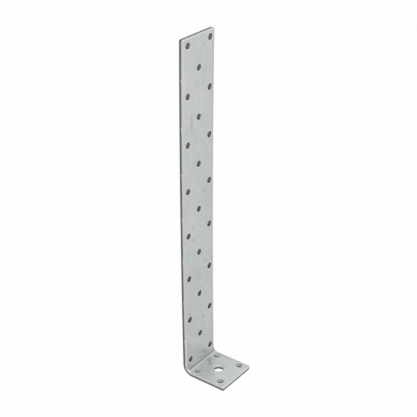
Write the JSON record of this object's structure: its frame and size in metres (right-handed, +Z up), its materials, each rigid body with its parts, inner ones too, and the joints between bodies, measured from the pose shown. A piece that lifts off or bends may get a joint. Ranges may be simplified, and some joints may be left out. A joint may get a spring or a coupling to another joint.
{
  "type": "anchor angle bracket",
  "caption": "Tall folded steel angle with a nail-perforated leg and a short flange with a central anchor hole, for tying timber down to concrete.",
  "frame": {"origin": "on the axis of the anchor hole, at the underside of the flange", "axes": "+Z up the leg and along the anchor hole, X across the strip, the leg at +Y and the flange reaching to -Y"},
  "size_m": [0.0384, 0.043, 0.2986],
  "materials": {
    "galvanised_sheet": "dull galvanised zinc with bare sheared edges"
  },
  "bodies": {
    "root": {"angle_bracket": "galvanised_sheet"}
  },
  "joints": []
}
